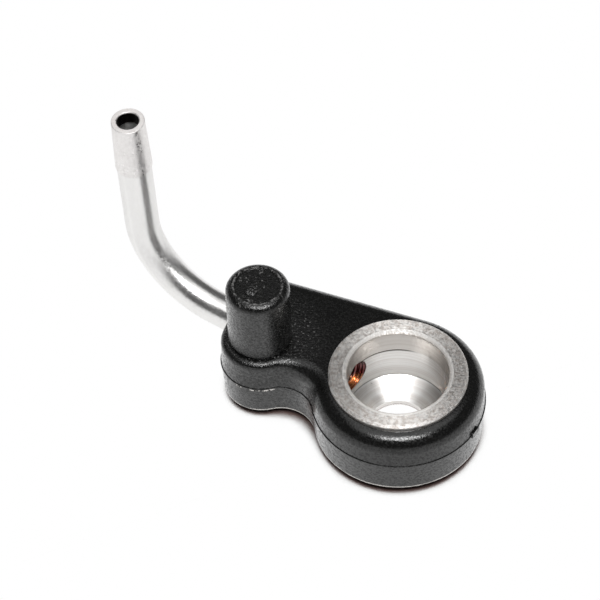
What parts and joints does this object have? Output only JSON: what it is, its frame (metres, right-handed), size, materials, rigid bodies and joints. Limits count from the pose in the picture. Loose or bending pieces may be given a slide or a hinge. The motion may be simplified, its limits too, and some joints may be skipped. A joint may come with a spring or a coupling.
{
  "type": "piston cooling nozzle",
  "caption": "Bent steel jet tube brazed into a turned bush and overmoulded with a black plastic arm and locating peg, to spray oil at the underside of a piston.",
  "frame": {"origin": "centre of the bolt hole at the underside of the bush, where the bolt's head bears", "axes": "+Z along the bolt hole towards the face that meets the engine block, -X towards the locating peg and the jet tube, +Y towards the straight edge of the arm"},
  "size_m": [0.0585, 0.0252, 0.0411],
  "materials": {
    "moulded_nylon": "black glass-filled nylon, as moulded",
    "turned_steel": "turned",
    "drawn_steel": "drawn and bent, bright",
    "satin_steel": "satin",
    "braze_copper": "copper braze, as run"
  },
  "bodies": {
    "root": {"body": "moulded_nylon", "bush": "turned_steel", "jet_tube": "drawn_steel", "nozzle_tip": "satin_steel", "braze_ring": "braze_copper"}
  },
  "joints": []
}
